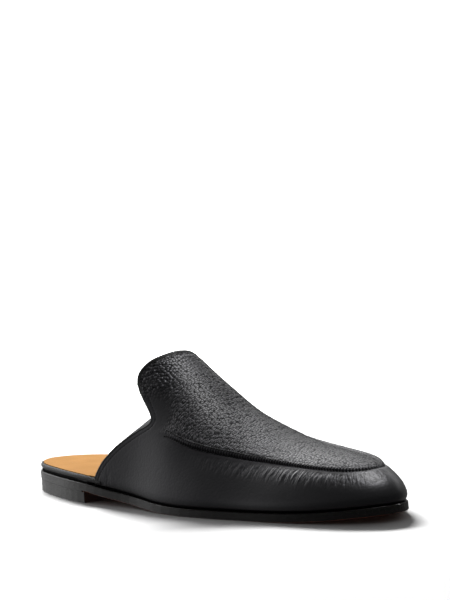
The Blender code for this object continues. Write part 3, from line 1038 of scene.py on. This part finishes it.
def bead(name, line, half_width, half_height, sides):
    """An oval bead along a line."""
    upright = np.tile([0.0, 0.0, 1.0], (len(line), 1))
    _, up, aside = frames_along(line, upright)
    return sweep(name, rings_along(line, aside, up, half_width, half_height, sides))


block = Finish("heel_leather", Specular_IOR_Level=0.19)
breast = block.rise(block.facing("X"), 0.6, 0.9)
fibres = block.noise(block.stretch(block.place(), (1.0, 1.0, 6.0)), 1.6 * MM, 4.0)
side_colour = block.mix(fibres, EDGE_DARK, HEEL_LIGHT)
breast_colour = block.mix(fibres, BREAST_DARK, BREAST_LIGHT)
block.set(Base_Color=block.mix(breast, side_colour, breast_colour))
block.set(Roughness=block.rise(fibres, 0.3, 0.7, 0.34, 0.5))
block.raise_surface(fibres, 0.05 * MM)
heel = nodes["heel"]
wax_edge(heel)
block.cover(heel)

joint_line = round_the_heel(JOINT_INSET, JOINT_END, -JOINT_DROP)
wax = bead("heel_joint_wax", joint_line, JOINT_HALF_WIDTH, JOINT_HALF_HEIGHT, 10)
block.cover(wax)
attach(wax, "root")

# --------------------------------------------------------------------------------- insole
# A footbed of board in a smooth black leather wrap, cut a little smaller than the sole, so that
# the upper can be lasted over it. The wrap's rounded rim stands over a groove above the sole, and shade
# is painted into that groove.
WRAP_DARK = (0.0030, 0.0030, 0.0032, 1.0)
WRAP_LIGHT = (0.0065, 0.0063, 0.0066, 1.0)
# painted shade for the groove under the rim
WRAP_GROOVE_SHADE = (0.0012, 0.0012, 0.0012, 1.0)
GROOVE_SHADE_STARTS, GROOVE_SHADE_ENDS = 1.6 * MM, 2.3 * MM  # above the sole
SEAT_MIDDLE, SEAT_END, WAIST = 20.0, 62.0, 100.0  # along; the sole is nearly level at the seat
RIM_END = 97.0
RIM_INSET = 1.35
RIM_HEIGHT = 3.3
RIM_HALF_WIDTH = 1.15 * MM
RIM_HALF_HEIGHT = 1.45 * MM
wrap = Finish("footbed_wrap", Specular_IOR_Level=0.2)
spot = wrap.place()
wrap_grain = wrap.rise(wrap.cell_edges(wrap.bend(spot, 2.0 * MM, 0.4 * MM), 0.7 * MM), 0.0, 0.3)
wrap.raise_surface(wrap_grain * 0.6 + wrap.noise(spot, 0.3 * MM) * 0.2, 0.10 * MM)
wrap.set(Base_Color=wrap.mix(wrap.noise(spot, 7.0 * MM, 3.0), WRAP_DARK, WRAP_LIGHT))
wrap.set(Roughness=wrap.rise(wrap_grain, 0.0, 1.0, 0.6, 0.42))
seat_level, waist_level = (smooth(TREAD, np.array([SEAT_MIDDLE, WAIST])) + SOLE) * MM
sole_top = wrap.rise(wrap.part(spot, "X"), (SEAT_END - middle[0]) * MM, (WAIST - middle[0]) * MM,
                     seat_level, waist_level)
over_sole = wrap.part(spot, "Z") - sole_top
# Painted shade: a black matt band on the wrap's side, just under the rim, stands in for the shadow in
# the groove.
wrap.paint_shade(wrap.rise(over_sole, GROOVE_SHADE_STARTS, GROOVE_SHADE_ENDS, 0.9, 0.0), WRAP_GROOVE_SHADE)
insole = nodes["insole"]
wrap.cover(insole)

rim_line = round_the_heel(RIM_INSET, RIM_END, SOLE + RIM_HEIGHT)
rim = bead("footbed_rim", rim_line, RIM_HALF_WIDTH, RIM_HALF_HEIGHT, 12)
wrap.cover(rim)
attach(rim, "root")

# --------------------------------------------------------------------------- sock lining
# A thin sheet of undyed tan leather, glued on the footbed last of all. It is left bare of any
# stamping, and is a little mottled where the hide took up more oil.
SOCK_DARK = (0.18, 0.086, 0.022, 1.0)
SOCK_LIGHT = (0.26, 0.132, 0.040, 1.0)
tan = Finish("tan_sock", Specular_IOR_Level=0.06)
tan_grain = tan.noise(tan.place(), 0.5 * MM, 3.0)
tan.set(Base_Color=tan.mix(tan.noise(tan.place(), 16.0 * MM, 4.0, 0.55), SOCK_DARK, SOCK_LIGHT))
tan.set(Roughness=tan.rise(tan_grain, 0.3, 0.7, 0.66, 0.8))
tan.raise_surface(tan_grain, 0.06 * MM)
sock = nodes["sock_lining"]
tan.cover(sock)

# --------------------------------------------------------------------------------- studio
# White paper on the floor, running on into a plain white room, so that only the shoe's own
# shadow shows. The room itself gives no light: that comes from two soft lamps and the air.
BLACK = (0.0, 0.0, 0.0, 1.0)
WHITE = (1.0, 1.0, 1.0, 1.0)
PAPER = (0.45, 0.45, 0.45, 1.0)
pick()
bpy.ops.mesh.primitive_circle_add(vertices=64, radius=12.0, fill_type="NGON")
floor = bpy.context.object
floor.name = "floor"
paper = Finish("white_paper", Roughness=1.0, Specular_IOR_Level=0.0, Base_Color=PAPER,
               Emission_Strength=1.0)
from_shoe = paper.vector_math("LENGTH", {0: paper.place()}, "Value")
paper.set(Emission_Color=paper.mix(paper.rise(from_shoe, 0.25, 1.0), BLACK, WHITE))
paper.cover(floor)
floor.visible_glossy = False

pick()
bpy.ops.mesh.primitive_uv_sphere_add(segments=48, ring_count=24, radius=11.0)
room = bpy.context.object
room.name = "room"
walls = Finish("white_walls", Roughness=1.0, Specular_IOR_Level=0.0, Base_Color=BLACK,
               Emission_Color=WHITE, Emission_Strength=1.2)
walls.cover(room)
room.visible_glossy = False
room.visible_diffuse = False
room.visible_shadow = False
room.visible_transmission = False

# The light that reaches the shoe from all round: a bright patch high behind it, a weaker glow
# low on the heel's side, and a little from everywhere.
BEHIND = Vector((-0.65, 0.76, 0.0))
HEEL_SIDE = Vector((-0.99, -0.05, 0.0))
EVERYWHERE = 0.10
world = bpy.data.worlds.new("studio")
bpy.context.scene.world = world
world.use_nodes = True
air = Nodes(world.node_tree)
direction = air.node("ShaderNodeTexCoord", {}, {}, "Generated")
upward = air.part(direction, "Z")
backward = air.part(direction, "Y")
toward_back = air.vector_math("DOT_PRODUCT", {0: direction, 1: BEHIND}, "Value")
toward_heel = air.vector_math("DOT_PRODUCT", {0: direction, 1: HEEL_SIDE}, "Value")
high = (air.rise(upward, 0.45, 0.8, 8.4, 0.3) * air.rise(upward, 0.2, 0.5, 0.05, 1.0)
        * air.rise(backward, 0.40, 0.70, 1.0, 0.2))
low = air.rise(upward, 0.15, 0.55, 1.75, 0.0) * air.rise(upward, -0.35, 0.2, 0.2, 1.0)
sides = air.rise(toward_heel, 0.15, 1.0) * air.rise(toward_back, 0.7, 1.0, 1.0, 0.0)
glow = air.rise(toward_back, 0.15, 0.85, 0.02, 1.0) * high + sides * low + EVERYWHERE
background = world.node_tree.nodes["Background"]
background.inputs["Color"].default_value = WHITE
world.node_tree.links.new(glow.socket, background.inputs["Strength"])


def softbox(name, place, size, power):
    """A big soft lamp, facing the shoe."""
    bpy.ops.object.light_add(type="AREA", location=place)
    lamp = bpy.context.object
    lamp.name = name
    lamp.data.shape = "RECTANGLE"
    lamp.data.size, lamp.data.size_y = size
    lamp.data.energy = power
    lamp.rotation_mode = "QUATERNION"
    lamp.rotation_quaternion = (-Vector(place)).to_track_quat("-Z", "Y")
    return lamp


overhead = softbox("overhead", (0.1, 0.34, 1.42), (0.75, 0.6), 18.8)
overhead.visible_diffuse = False
key = softbox("key", (-1.25, 0.75, 1.15), (0.7, 0.25), 135.0)
key.visible_glossy = False

# --------------------------------------------------------------------------------- camera
# It stands well off the shoe, in front of its outer side and a little above the floor, with a
# long lens, and is rolled very slightly.
CAMERA_PLACE = Vector((1.0318, -0.9308, 0.2025))
CAMERA_AIM = Vector((0.00815, 0.00905, 0.11524))
CAMERA_ROLL = math.radians(-2.97)
bpy.ops.object.camera_add(location=CAMERA_PLACE)
camera = bpy.context.object
camera.data.lens = 146.45
camera.data.sensor_width = 36.0
camera.rotation_mode = "QUATERNION"
camera.rotation_quaternion = ((CAMERA_AIM - CAMERA_PLACE).to_track_quat("-Z", "Y")
                              @ Quaternion((0.0, 0.0, 1.0), CAMERA_ROLL))
bpy.context.scene.camera = camera
bpy.context.scene.view_settings.view_transform = "Standard"
